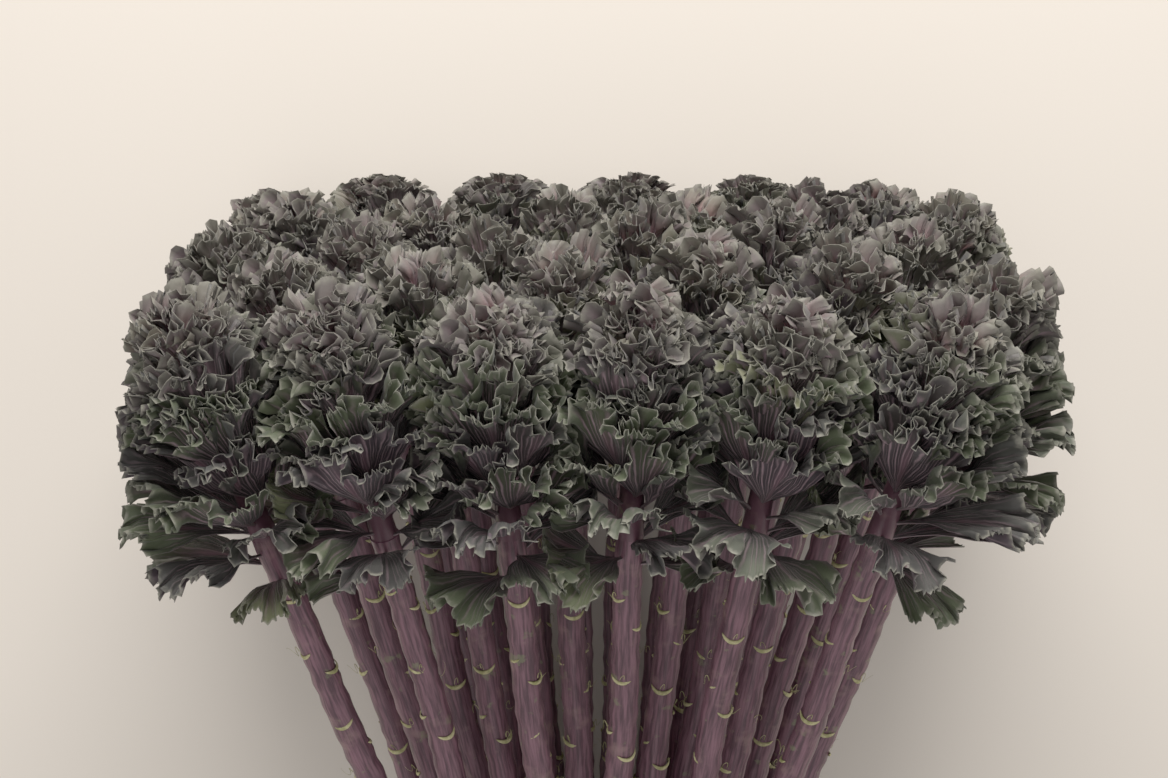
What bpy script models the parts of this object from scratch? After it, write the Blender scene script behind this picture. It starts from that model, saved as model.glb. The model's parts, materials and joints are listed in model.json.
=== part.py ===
"""A bunch of cut ornamental kale, purple and frilly, lying on its back on a flat surface.

Thirty plants stand shoulder to shoulder in five rows. Their bare stems run together
towards the cut ends, as they do in a deep narrow container, so the bunch is a fan: wide at
the leafy heads and tight at the cut. Each plant is a head of fan-shaped leaves in a spiral
on a slim axis, and a bare stem below it.

The bunch is worked out standing up, with X across, Y from its front row to its back row
and Z up from the collar, where the lowest leaves grow. It is then tipped back until the
back row lies on the surface. As it lies, +Y runs from the cut ends to the heads and +Z up.
"""

import math
import random

import bmesh
import bpy
from mathutils import Matrix, Vector

# The rows of plants, in metres, measured at the pitch height above the collar.
ROW_COUNT = 5
HEADS_PER_ROW = 6
HEAD_PITCH = 0.090
ROW_PITCH = 0.085
PITCH_HEIGHT = 0.100
ROW_STAGGER = HEAD_PITCH / 4
PLACE_JITTER = 0.004
HEIGHT_JITTER = 0.007
BACK_ROW_RISE = 0.012
NEIGHBOUR_PITCHES = 3

# The stems all point at one focus, this far below the collar, and are cut before it.
FOCUS_DEPTH = 0.700
STEM_LENGTH = 0.470
STEM_CUT_RADIUS = 0.0110
STEM_COLLAR_RADIUS = 0.0098
STEM_SIDES = 8
STEM_SPANS = 2
STEM_CROOK = 0.0022
STEM_CUT_CROOK = 0.0003
GAP = 0.0003

# The axis that carries the leaves of one head.
AXIS_LENGTH = 0.128
AXIS_BASE_RADIUS = 0.0095
AXIS_MID_RADIUS = 0.0085
AXIS_TIP_RADIUS = 0.0060
AXIS_SIDES = 5

# The leaves of one head, from the lowest and largest to the small upright heart leaves.
LEAVES_PER_HEAD = 12
INNER_HEAD_FIRST_LEAF = 6
OUTWARD_LAST_LEAF = 6
OUTWARD_SPREAD = math.radians(112)
SPIRAL_STEP = math.radians(137.508)
LEAF_ROOT_LOW = 0.006
LEAF_ROOT_HIGH = 0.116
LEAF_LENGTH_LOW = 0.092
LEAF_LENGTH_HIGH = 0.054
LEAF_WIDTH_LOW = 0.104
LEAF_WIDTH_HIGH = 0.064
LENGTH_CURVE = 1.2
WIDTH_CURVE = 0.8
SIZE_SPREAD = 0.06
LEAF_BASE_WIDTH = 0.006
ROOT_DEPTH_SHARE = 0.30
LEAF_THICKNESS = 0.0010
LEAF_START_LOW = math.radians(30)
LEAF_START_HIGH = math.radians(8)
LEAF_END_LOW = math.radians(66)
LEAF_END_HIGH = math.radians(58)
OUTWARD_OPENING = math.radians(14)
ROOT_OPENING_SHARE = 0.4
CURVE_STEPS = 6
LEAF_CUP = 0.34
LEAF_BELLY = 0.04
CENTRE_LOW = 0.72
CENTRE_HIGH = 0.50
EDGE_ROUNDING = 0.42
EDGE_WAVE = 0.0055
HEART_WAVE_SHARE = 0.6
EDGE_NOTCH = 0.05
BIG_LEAF_EDGE_POINTS = 7
SMALL_LEAF_EDGE_POINTS = 5
BIG_LEAF_LAST = 3

# Each leaf keeps clear of the plants around it, and the inner leaves a little more.
CELL_MARGIN = 0.0010
MARGIN_PER_LEAF = 0.0008
WALL_PASSES = 4
SLIDE_SLACK = 0.00005

# The lowest leaf of each plant in the back row lies pressed flat where it is this low.
PRESSED_HEIGHT = 0.010

# How far back the bunch is tipped past lying flat on its stems' own line.
LAY_ANGLE = math.radians(16)
SEED = 7

LEAF_COLOUR = (0.030, 0.038, 0.034, 1.0)
STEM_COLOUR = (0.150, 0.045, 0.110, 1.0)

UP_WHEN_LAID = Vector((0, -math.cos(LAY_ANGLE), math.sin(LAY_ANGLE)))
LAY_TURN = Matrix.Rotation(LAY_ANGLE - math.pi / 2, 3, "X")
FOCUS = Vector((0, 0, -FOCUS_DEPTH))


def clear_scene():
    for item in list(bpy.data.objects):
        bpy.data.objects.remove(item, do_unlink=True)


def principled(name, colour, roughness):
    material = bpy.data.materials.new(name)
    material.use_nodes = True
    shader = material.node_tree.nodes["Principled BSDF"]
    shader.inputs["Base Color"].default_value = colour
    shader.inputs["Roughness"].default_value = roughness
    shader.inputs["Metallic"].default_value = 0.0
    return material


def blend(low, high, share):
    return low + (high - low) * share


class Plant:
    """One plant's place in the bunch: the line of its stem, and the space it has."""

    def __init__(self, number, row, column, draw):
        half_columns = (HEADS_PER_ROW - 1) / 2
        half_rows = (ROW_COUNT - 1) / 2
        stagger = -ROW_STAGGER if row % 2 == 0 else ROW_STAGGER
        across = (column - half_columns) * HEAD_PITCH + stagger
        back = (half_rows - row) * ROW_PITCH
        across += draw.uniform(-PLACE_JITTER, PLACE_JITTER)
        back += draw.uniform(-PLACE_JITTER, PLACE_JITTER) * (0 < row < ROW_COUNT - 1)
        self.number = number
        self.turn = draw.uniform(0, 2 * math.pi)
        self.lift = draw.uniform(-HEIGHT_JITTER, HEIGHT_JITTER)
        self.lift += BACK_ROW_RISE * (1 - row / (ROW_COUNT - 1))
        self.line = (Vector((across, back, PITCH_HEIGHT)) - FOCUS).normalized()
        self.right = Vector((0, 1, 0)).cross(self.line).normalized()
        self.front = self.line.cross(self.right).normalized()
        self.outward = Vector((0, 0, 0))
        if column == 0:
            self.outward += Vector((-1, 0, 0))
        if column == HEADS_PER_ROW - 1:
            self.outward += Vector((1, 0, 0))
        if row == ROW_COUNT - 1:
            self.outward += Vector((0, -1, 0))
        if row == 0:
            self.outward += Vector((0, 1, 0))
        self.on_border = self.outward.length > 0
        if self.on_border:
            self.outward.normalize()
        self.walls = []

    def along(self, height):
        """The point of the stem's line at a height above the collar."""
        return FOCUS + self.line * ((FOCUS_DEPTH + height) / self.line.z)

    def slide_inside(self, point, margin, floor_margin, floor):
        """Slides a point along the walls of the plant's own space until it is inside them."""
        point = point.copy()
        for again in range(WALL_PASSES):
            for wall in self.walls:
                short = margin - (point - FOCUS).dot(wall)
                if short > 0:
                    point += wall * short
            short = floor + floor_margin - point.dot(UP_WHEN_LAID)
            if short > 0:
                point += UP_WHEN_LAID * short
        return point

    def draw_in(self, point, margin, floor_margin, floor):
        """Draws a point in towards the plant's own line until nothing is left outside."""
        on_line = FOCUS + self.line * (point - FOCUS).dot(self.line)
        spoke = point - on_line
        reach = 1.0
        for wall in self.walls:
            towards = -spoke.dot(wall)
            if towards > 0:
                reach = min(reach, ((on_line - FOCUS).dot(wall) - margin) / towards)
        down = -spoke.dot(UP_WHEN_LAID)
        if down > 0:
            reach = min(reach, (on_line.dot(UP_WHEN_LAID) - floor - floor_margin) / down)
        return on_line + spoke * reach


def plan_plants():
    draw = random.Random(SEED)
    plants = []
    for row in range(ROW_COUNT):
        for column in range(HEADS_PER_ROW):
            plants.append(Plant(len(plants) + 1, row, column, draw))
    for plant in plants:
        for other in plants:
            apart = plant.line - other.line
            if other is not plant and apart.length < NEIGHBOUR_PITCHES * HEAD_PITCH / FOCUS_DEPTH:
                plant.walls.append(apart.normalized())
    return plants


def ring(centre, right, front, radius, sides):
    points = []
    for side in range(sides):
        angle = 2 * math.pi * (side + 0.5) / sides
        points.append(centre + (right * math.cos(angle) + front * math.sin(angle)) * radius)
    return points


def tube_mesh(name, rings):
    """A closed tube through rings of points, listed from its lower end to its upper end."""
    sides = len(rings[0])
    body = bmesh.new()
    loops = [[body.verts.new(point) for point in points] for points in rings]
    for lower, upper in zip(loops, loops[1:]):
        for side in range(sides):
            after = (side + 1) % sides
            body.faces.new((lower[side], lower[after], upper[after], upper[side]))
    body.faces.new(list(reversed(loops[0])))
    body.faces.new(loops[-1])
    bmesh.ops.recalc_face_normals(body, faces=body.faces)
    bmesh.ops.triangulate(body, faces=body.faces)
    mesh = bpy.data.meshes.new(name)
    body.to_mesh(mesh)
    body.free()
    return mesh


def stem_mesh(plant, draw):
    rings = []
    for span in range(STEM_SPANS + 1):
        share = span / STEM_SPANS
        depth = blend(STEM_LENGTH, 0, share)
        radius = blend(STEM_CUT_RADIUS, STEM_COLLAR_RADIUS, share)
        crook = blend(STEM_CUT_CROOK, STEM_CROOK, math.sin(math.pi * share))
        centre = plant.along(-depth)
        centre += plant.right * draw.uniform(-crook, crook)
        centre += plant.front * draw.uniform(-crook, crook)
        if span == STEM_SPANS:
            centre = plant.along(0) - plant.line * GAP
        rings.append(ring(centre, plant.right, plant.front, radius, STEM_SIDES))
    return tube_mesh(f"kale_stem_{plant.number:02d}", rings)


def axis_radius(share):
    if share < 0.5:
        return blend(AXIS_BASE_RADIUS, AXIS_MID_RADIUS, share * 2)
    return blend(AXIS_MID_RADIUS, AXIS_TIP_RADIUS, share * 2 - 1)


def axis_mesh(plant):
    rings = []
    for share in (0, 0.5, 1):
        centre = plant.along(0) + plant.line * (AXIS_LENGTH + plant.lift) * share
        rings.append(ring(centre, plant.right, plant.front, axis_radius(share), AXIS_SIDES))
    return tube_mesh(f"kale_axis_{plant.number:02d}", rings)


def leaf_mesh(plant, number, floor, draw):
    """One leaf: a fan with a rounded, waved outer edge, the same on both its faces."""
    share = number / (LEAVES_PER_HEAD - 1)
    turn = leaf_turn(plant, number)
    out = plant.right * math.cos(turn) + plant.front * math.sin(turn)
    side = plant.line.cross(out)
    opening = max(0.0, out.dot(plant.outward)) * (1 - share) * OUTWARD_OPENING
    start = blend(LEAF_START_LOW, LEAF_START_HIGH, share) + opening * ROOT_OPENING_SHARE
    end = blend(LEAF_END_LOW, LEAF_END_HIGH, share) + opening
    length = blend(LEAF_LENGTH_LOW, LEAF_LENGTH_HIGH, share ** LENGTH_CURVE)
    length *= draw.uniform(1 - SIZE_SPREAD, 1 + SIZE_SPREAD)
    width = blend(LEAF_WIDTH_LOW, LEAF_WIDTH_HIGH, share)
    width *= draw.uniform(1 - SIZE_SPREAD, 1 + SIZE_SPREAD)
    height = blend(LEAF_ROOT_LOW, LEAF_ROOT_HIGH + plant.lift, share)
    root_radius = axis_radius(height / (AXIS_LENGTH + plant.lift)) * (1 - ROOT_DEPTH_SHARE)
    root = plant.along(0) + plant.line * height + out * root_radius
    margin = CELL_MARGIN + MARGIN_PER_LEAF * number
    floor_margin = LEAF_THICKNESS / 2 + MARGIN_PER_LEAF * number

    def on_leaf(along, across, wave):
        """A point at a share of the leaf's length and of its half width."""
        point = root.copy()
        stride = length * along / CURVE_STEPS
        for step in range(CURVE_STEPS):
            angle = blend(start, end, along * (step + 0.5) / CURVE_STEPS)
            point += (out * math.sin(angle) + plant.line * math.cos(angle)) * stride
        angle = blend(start, end, along)
        outer = out * math.cos(angle) - plant.line * math.sin(angle)
        half = blend(LEAF_BASE_WIDTH, width, along ** WIDTH_CURVE) / 2
        cup = LEAF_CUP * half * across * across * along
        return point + side * half * across + outer * (wave - cup)

    edge_points = BIG_LEAF_EDGE_POINTS if number <= BIG_LEAF_LAST else SMALL_LEAF_EDGE_POINTS
    wave = EDGE_WAVE * blend(1, HEART_WAVE_SHARE, share) * draw.choice((-1, 1))
    middle = [on_leaf(0, 0, 0)]
    for place in range(edge_points):
        across = 2 * place / (edge_points - 1) - 1
        along = 1 - EDGE_ROUNDING * across * across - EDGE_NOTCH * (place % 2)
        middle.append(on_leaf(along, across, wave if place % 2 else -wave))
    middle.append(on_leaf(blend(CENTRE_LOW, CENTRE_HIGH, share), 0, LEAF_BELLY * width))
    middle = [plant.slide_inside(point, margin, floor_margin, floor) for point in middle]
    middle = [plant.draw_in(point, margin - SLIDE_SLACK, floor_margin, floor) for point in middle]
    heights = [point.dot(UP_WHEN_LAID) - floor - LEAF_THICKNESS / 2 for point in middle]
    resting = [number == 0 and height < PRESSED_HEIGHT for height in heights]
    for place, height in enumerate(heights):
        if resting[place]:
            middle[place] -= UP_WHEN_LAID * height

    rim = len(middle) - 1
    faces = [(place, (place + 1) % rim, rim) for place in range(rim)]
    normals = [Vector((0, 0, 0)) for point in middle]
    for face in faces:
        first, second, third = (middle[corner] for corner in face)
        across_face = (second - first).cross(third - first)
        for corner in face:
            normals[corner] += across_face
    half = LEAF_THICKNESS / 2
    offsets = []
    for normal, rests in zip(normals, resting):
        offset = normal.normalized() * half
        if rests:
            offset = UP_WHEN_LAID * math.copysign(half, normal.dot(UP_WHEN_LAID))
        offsets.append(offset)
    points = [point + offset for point, offset in zip(middle, offsets)]
    points += [point - offset for point, offset in zip(middle, offsets)]
    lower = len(middle)
    solid = list(faces)
    solid += [(third + lower, second + lower, first + lower) for first, second, third in faces]
    for place in range(rim):
        after = (place + 1) % rim
        solid.append((place, place + lower, after + lower))
        solid.append((place, after + lower, after))
    mesh = bpy.data.meshes.new(f"kale_leaf_{plant.number:02d}_{number:02d}")
    mesh.from_pydata(points, [], solid)
    return mesh


def leaf_turn(plant, number):
    """Where a leaf stands round its axis: the low leaves of a border plant face the open."""
    if not plant.on_border or number > OUTWARD_LAST_LEAF:
        return plant.turn + number * SPIRAL_STEP
    facing = math.atan2(plant.outward.dot(plant.front), plant.outward.dot(plant.right))
    spread = 2 * ((0.5 + number * SPIRAL_STEP / (2 * math.pi)) % 1) - 1
    return facing + spread * OUTWARD_SPREAD


def leaf_numbers(plant):
    """The leaves that a head carries: plants inside the bunch have shed their lowest ones."""
    return range(0 if plant.on_border else INNER_HEAD_FIRST_LEAF, LEAVES_PER_HEAD)


def keep_largest_shell(mesh):
    """Leaves one closed body: loose scraps and sealed hollows are dropped."""
    body = bmesh.new()
    body.from_mesh(mesh)
    bmesh.ops.triangulate(body, faces=body.faces)
    body.faces.ensure_lookup_table()
    shells = []
    seen = set()
    for first in body.faces:
        if first in seen:
            continue
        shell = [first]
        seen.add(first)
        for face in shell:
            for edge in face.edges:
                for neighbour in edge.link_faces:
                    if neighbour not in seen:
                        seen.add(neighbour)
                        shell.append(neighbour)
        shells.append(shell)

    def volume(shell):
        return sum(face.verts[0].co.dot(face.verts[1].co.cross(face.verts[2].co)) for face in shell)

    largest = max(shells, key=volume)
    scraps = [face for shell in shells if shell is not largest for face in shell]
    if scraps:
        bmesh.ops.delete(body, geom=scraps, context="FACES")
    body.to_mesh(mesh)
    body.free()


def fuse(name, core_mesh, part_meshes):
    """Joins the parts to the core by one union and returns the single mesh."""
    parts = bpy.data.collections.new(f"{name}_parts")
    bpy.context.scene.collection.children.link(parts)
    for mesh in part_meshes:
        parts.objects.link(bpy.data.objects.new(mesh.name, mesh))
    core = bpy.data.objects.new(f"{name}_core", core_mesh)
    bpy.context.scene.collection.objects.link(core)
    union = core.modifiers.new("union", "BOOLEAN")
    union.operation = "UNION"
    union.operand_type = "COLLECTION"
    union.collection = parts
    union.solver = "MANIFOLD"
    seen = core.evaluated_get(bpy.context.evaluated_depsgraph_get())
    mesh = bpy.data.meshes.new_from_object(seen)
    mesh.name = name
    for item in list(parts.objects):
        bpy.data.objects.remove(item, do_unlink=True)
    bpy.data.objects.remove(core, do_unlink=True)
    bpy.data.collections.remove(parts)
    return mesh


def add_piece(name, mesh, material):
    mesh.materials.clear()
    mesh.materials.append(material)
    piece = bpy.data.objects.new(name, mesh)
    bpy.context.scene.collection.objects.link(piece)
    return piece


def lay_down(pieces):
    """Tips the bunch on its back and puts the origin under the middle of it."""
    for piece in pieces:
        piece.data.transform(LAY_TURN.to_4x4())
    corners = [vertex.co for piece in pieces for vertex in piece.data.vertices]
    lows = [min(corner[axis] for corner in corners) for axis in range(3)]
    highs = [max(corner[axis] for corner in corners) for axis in range(3)]
    shift = Vector((-(lows[0] + highs[0]) / 2, -(lows[1] + highs[1]) / 2, -lows[2]))
    for piece in pieces:
        piece.data.transform(Matrix.Translation(shift))
        piece.data.update()


def build():
    clear_scene()
    leaf_material = principled("kale_leaf", LEAF_COLOUR, 0.55)
    stem_material = principled("kale_stem", STEM_COLOUR, 0.5)
    plants = plan_plants()
    pieces = []
    stems = []
    for plant in plants:
        mesh = stem_mesh(plant, random.Random(SEED + plant.number))
        stems.append(mesh)
        pieces.append(add_piece(mesh.name, mesh, stem_material))
    floor = min(vertex.co.dot(UP_WHEN_LAID) for mesh in stems for vertex in mesh.vertices)
    for plant in plants:
        draw = random.Random(100 * SEED + plant.number)
        leaves = [leaf_mesh(plant, number, floor, draw) for number in leaf_numbers(plant)]
        name = f"kale_head_{plant.number:02d}"
        mesh = fuse(name, axis_mesh(plant), leaves)
        keep_largest_shell(mesh)
        pieces.append(add_piece(name, mesh, leaf_material))
    lay_down(pieces)


build()
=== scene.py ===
# Purple kale bunch, lying on its back: frilly heads, bare purple stems, pale floor and soft light.
import json
import math

import bmesh
import bpy
import numpy as np
from mathutils import Matrix, Vector

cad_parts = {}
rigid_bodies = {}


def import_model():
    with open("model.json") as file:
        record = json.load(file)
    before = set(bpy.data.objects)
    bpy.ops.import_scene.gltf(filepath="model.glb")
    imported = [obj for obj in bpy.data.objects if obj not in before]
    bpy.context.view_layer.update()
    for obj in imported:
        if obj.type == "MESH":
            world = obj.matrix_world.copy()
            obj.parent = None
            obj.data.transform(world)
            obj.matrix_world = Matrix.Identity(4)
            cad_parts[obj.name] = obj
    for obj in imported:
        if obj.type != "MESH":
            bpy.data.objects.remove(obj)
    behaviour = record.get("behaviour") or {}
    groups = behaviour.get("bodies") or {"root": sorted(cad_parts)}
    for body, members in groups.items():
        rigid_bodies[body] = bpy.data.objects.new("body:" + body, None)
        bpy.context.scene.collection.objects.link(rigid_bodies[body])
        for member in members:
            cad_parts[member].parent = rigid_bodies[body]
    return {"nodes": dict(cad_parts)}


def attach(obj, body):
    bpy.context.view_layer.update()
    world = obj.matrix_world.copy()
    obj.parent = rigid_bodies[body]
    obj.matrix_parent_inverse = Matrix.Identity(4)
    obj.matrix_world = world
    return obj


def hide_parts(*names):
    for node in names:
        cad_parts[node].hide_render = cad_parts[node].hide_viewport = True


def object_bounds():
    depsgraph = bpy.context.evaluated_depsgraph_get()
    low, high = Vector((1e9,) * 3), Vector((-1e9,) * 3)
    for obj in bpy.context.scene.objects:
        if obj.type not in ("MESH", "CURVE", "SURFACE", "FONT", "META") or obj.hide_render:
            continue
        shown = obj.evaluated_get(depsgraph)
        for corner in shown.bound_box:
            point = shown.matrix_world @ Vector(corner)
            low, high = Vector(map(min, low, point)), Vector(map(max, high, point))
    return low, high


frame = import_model()
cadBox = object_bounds()

# The bunch as a whole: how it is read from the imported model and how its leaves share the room.
bunch = {
    "plants": 30,
    "columns": 6,
    "interlock": 0.020,        # how far leaves may reach in among the next plant's
    "softReach": 0.74,         # share of the free room where leaves start to crowd
    "crowdEase": 1.35,         # how gently crowded leaves are drawn in
    "floorPress": 0.014,       # leaves lower than this are pressed towards the floor
    "floorGap": 0.0004,
    "sideRoom": 0.020,         # leaves are held back from this far inside the solid model's box
    "sideSlack": 0.020,        # and may stand this far outside it
    "endBand": 0.004,          # a stem's end is all that lies this close to its tip
    "nearPlants": 0.4,         # plants whose lines differ less than this are neighbours
}


def meshPoints(mesh):
    points = np.empty(len(mesh.vertices) * 3)
    mesh.vertices.foreach_get("co", points)
    return points.reshape(-1, 3)


def endCentre(points, along, atTop):
    limit = along.max() if atTop else along.min()
    ring = np.unique(points[np.abs(along - limit) < bunch["endBand"]].round(6), axis=0)
    return ring.mean(axis=0)


# Each plant's stem line, collar and reach, its axes and the directions of its neighbours.
def readPlants():
    plants = []
    for number in range(1, bunch["plants"] + 1):
        stem = meshPoints(frame["nodes"][f"kale_stem_{number:02d}"].data)
        head = meshPoints(frame["nodes"][f"kale_head_{number:02d}"].data)
        guess = head.mean(axis=0) - stem.mean(axis=0)
        along = stem @ (guess / np.linalg.norm(guess))
        cut = endCentre(stem, along, False)
        collar = endCentre(stem, along, True)
        line = (collar - cut) / np.linalg.norm(collar - cut)
        row, column = divmod(number - 1, bunch["columns"])
        plants.append({
            "number": number, "row": row, "column": column, "cut": cut, "collar": collar,
            "line": line, "reach": ((head - collar) @ line).max(),
        })
    lines = np.array([plant["line"] for plant in plants])
    collars = np.array([plant["collar"] for plant in plants])
    # The stem lines meet in one point: the least squares solution of all of them.
    away = np.eye(3) - lines[:, :, None] * lines[:, None, :]
    focus = np.linalg.solve(away.sum(axis=0), np.einsum("nij,nj->i", away, collars))
    rows = max(plant["row"] for plant in plants)
    middle = lines.mean(axis=0)
    middle[0] = 0
    middle /= np.linalg.norm(middle)
    towardsViewer = np.cross([1.0, 0, 0], middle)
    for plant in plants:
        plant["line"] = (plant["collar"] - focus) / np.linalg.norm(plant["collar"] - focus)
        right = np.cross(towardsViewer, plant["line"])
        right = -right if right[0] < 0 else right
        plant["right"] = right / np.linalg.norm(right)
        plant["front"] = np.cross(plant["right"], plant["line"])
        outward = np.zeros(2)
        outward[0] += (plant["column"] == bunch["columns"] - 1) - (plant["column"] == 0)
        outward[1] += (plant["row"] == rows) - (plant["row"] == 0)
        plant["onBorder"] = bool(np.abs(outward).sum() > 0)
        plant["facing"] = math.atan2(outward[1], outward[0])
        # A wall stands half way to each neighbour and is given by its direction.
        walls = [plant["line"] - other["line"] for other in plants if other is not plant]
        walls = [wall / np.linalg.norm(wall) for wall in walls if np.linalg.norm(wall) < bunch["nearPlants"]]
        plant["walls"] = np.array(walls)
    return plants, focus, middle, towardsViewer


plants, focus, bunchUp, towardsViewer = readPlants()
print("plants read:", len(plants), "focus", focus.round(3))

# One leaf, from the lowest and largest to the frilly ones of the heart.
leafLook = {
    "shapes": 16,
    "columns": (3, 6, 12, 12, 24, 24, 48, 96, 96),              # faces across the fan at each ring
    "rings": (0.02, 0.14, 0.29, 0.44, 0.57, 0.70, 0.81, 0.91, 1.0),
    "lengthLow": 0.098, "lengthHeart": 0.029, "lengthCurve": 2.7,
    "fanLow": 23, "fanHeart": 32,          # half the fan's angle, degrees
    "bendLow": -30, "bendHeart": 6,        # how far the midrib bends outwards above its root, degrees
    "curlLow": 24, "curlHeart": 84,        # extra backward curl at the margin, degrees
    "curlFromLow": 0.84, "curlFromHeart": 0.58, "curlCurve": 1.8,
    "droop": 52, "droopLast": 0.38,        # the lowest leaves hang over instead
    "lowestShorter": 0.22, "lowestLast": 0.12,
    "shoulders": 0.13,                     # how much shorter the fan is at its sides
    "cupLow": 0.60, "cupHeart": 0.80,      # how far the sides come round the axis
    "folds": 2.0, "foldSize": 0.070,       # big waves across the fan
    "ruffles": 5.5, "ruffleLow": 0.023, "ruffleHeart": 0.130, "ruffleCurve": 1.6,
    "frillsLow": 26, "frillsHeart": 22,    # small curls along the margin
    "frillSizeLow": 0.017, "frillSizeHeart": 0.072, "frillCurve": 1.4,
    "toothSize": 0.014,
    "puckers": 7, "puckerLow": 0.006, "puckerHeart": 0.020,   # uneven swelling between the veins
    "thinnest": 0.00045, "ribExtra": 0.0022, "heartThin": 0.7,
    "seed": 11,
}


def mix(low, high, share):
    return low + (high - low) * share


def smooth(low, high, value):
    share = np.clip((value - low) / (high - low), 0, 1)
    return share * share * (3 - 2 * share)


# Rings of points from the base to the margin; a ring may have twice the last one's.
def fanGrid(columns, rings):
    across, along, starts = [], [], []
    for count, ring in zip(columns, rings):
        starts.append(len(across))
        across.extend(np.linspace(-1, 1, count + 1))
        along.extend([ring] * (count + 1))
    faces = []
    for ring in range(len(columns) - 1):
        low, high = starts[ring], starts[ring + 1]
        for step in range(columns[ring]):
            if columns[ring + 1] == columns[ring]:
                faces.append((low + step, low + step + 1, high + step + 1))
                faces.append((low + step, high + step + 1, high + step))
            else:
                middle = high + 2 * step + 1
                faces.append((low + step, middle, middle - 1))
                faces.append((low + step, low + step + 1, middle))
                faces.append((low + step + 1, middle + 1, middle))
    rim = list(range(starts[0], starts[0] + columns[0] + 1))
    rim += [starts[ring] + columns[ring] for ring in range(1, len(columns))]
    rim += list(range(starts[-1] + columns[-1] - 1, starts[-1] - 1, -1))
    rim += [starts[ring] for ring in range(len(columns) - 2, 0, -1)]
    return np.array(across), np.array(along), np.array(faces), rim


# The middle surface of a leaf that grows up +Z from the origin and bends out to +X.
def leafSurface(across, along, share, draw):
    look = leafLook
    length = mix(look["lengthLow"], look["lengthHeart"], share ** look["lengthCurve"])
    length *= 1 - look["lowestShorter"] * float(smooth(look["lowestLast"], 0.0, share))
    fan = math.radians(mix(look["fanLow"], look["fanHeart"], share)) * draw.uniform(0.85, 1.15)
    curlFrom = mix(look["curlFromLow"], look["curlFromHeart"], share ** look["curlCurve"])
    side = smooth(0.70, 1.0, np.abs(across)) * smooth(0.40, 0.80, along)
    margin = smooth(0.30, 1.0, along) ** 2
    ruffled = np.maximum(smooth(curlFrom - 0.08, 0.98, along), 0.7 * side)
    edge = np.maximum(smooth(curlFrom + 0.04, 1.0, along), 0.8 * side)

    def wave(count, spread=0.0):
        return 2 * math.pi * (count * (across + 1) / 2 + draw.uniform(0, 1)
                              + spread * np.sin(3.1 * across * math.pi + draw.uniform(0, 6.28)))

    folds = wave(look["folds"] * draw.uniform(0.8, 1.25), 0.16)
    ruffles = wave(look["ruffles"] * draw.uniform(0.85, 1.2), 0.3)
    frills = wave(mix(look["frillsLow"], look["frillsHeart"], share) * draw.uniform(0.9, 1.1), 0.7)
    gust = 0.75 + 0.45 * np.sin(wave(1.7)) * np.sin(wave(2.9))
    foldSize = look["foldSize"] * length * margin * draw.uniform(0.7, 1.3)
    ruffleSize = mix(look["ruffleLow"], look["ruffleHeart"], share ** look["ruffleCurve"])
    ruffleSize = ruffleSize * length * ruffled * gust
    frillSize = mix(look["frillSizeLow"], look["frillSizeHeart"], share ** look["frillCurve"])
    frillSize = frillSize * length * edge
    frillSize = frillSize * (0.7 + 0.5 * np.sin(wave(3.7)) ** 2)

    outline = 1 - look["shoulders"] * np.abs(across) ** 2.4 + 0.030 * np.sin(folds)
    outline = outline + draw.uniform(-0.03, 0.03)
    spreadOut = 0.24 + 0.76 * smooth(0.06, 0.62, along)
    radius = length * along * outline
    angle = across * fan * spreadOut
    straight = radius * np.cos(angle * 0.92) + ruffleSize * 0.5 * np.cos(ruffles)
    straight += look["toothSize"] * length * edge * np.sin(frills + 1.2)
    sideways = radius * np.sin(angle) - foldSize * 0.5 * np.sin(2 * folds)
    sideways -= ruffleSize * 0.7 * np.sin(2 * ruffles) + frillSize * 0.4 * np.sin(2 * frills)

    bend = math.radians(mix(look["bendLow"], look["bendHeart"], share)) * draw.uniform(0.8, 1.2)
    curl = math.radians(mix(look["curlLow"], look["curlHeart"], share ** look["curlCurve"]))
    curl *= draw.uniform(0.6, 1.3)
    # The midrib is walked in short strides, each turned a little further than the last.
    strides = 24
    steps = np.linspace(0, 1, strides + 1)
    bend += math.radians(look["droop"]) * float(smooth(look["droopLast"], 0.0, share))
    turn = bend * smooth(0.0, 0.65, steps) + curl * smooth(curlFrom, 1.02, steps) ** 1.2
    stride = length / strides
    midOut = np.concatenate([[0], np.cumsum(np.sin((turn[1:] + turn[:-1]) / 2) * stride)])
    midUp = np.concatenate([[0], np.cumsum(np.cos((turn[1:] + turn[:-1]) / 2) * stride)])
    place = np.clip(straight / length, -0.05, 1.15)
    turnHere = np.interp(place, steps, turn)
    over = (place - np.clip(place, 0, 1)) * length
    out = np.interp(place, steps, midOut) + over * np.sin(turnHere)
    up = np.interp(place, steps, midUp) + over * np.cos(turnHere)

    cup = mix(look["cupLow"], look["cupHeart"], share) * draw.uniform(0.8, 1.2)
    lift = -cup * sideways ** 2 / (0.75 * length) * (1 - 0.75 * ruffled)
    lift += foldSize * np.sin(folds) + ruffleSize * np.sin(ruffles) + frillSize * np.sin(frills)
    lift += 0.0008 * np.cos(across * math.pi * 4.5) * smooth(0.1, 0.4, along) * (1 - edge)
    puckerSize = mix(look["puckerLow"], look["puckerHeart"], share) * length
    for _ in range(look["puckers"]):
        slant = draw.uniform(-9, 9) * across + draw.uniform(4, 13) * along
        lift += puckerSize * np.sin(slant + draw.uniform(0, 6.28)) * smooth(0.25, 0.6, along)
    return np.stack([out + lift * np.cos(turnHere), sideways, up - lift * np.sin(turnHere)], axis=1)


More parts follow.
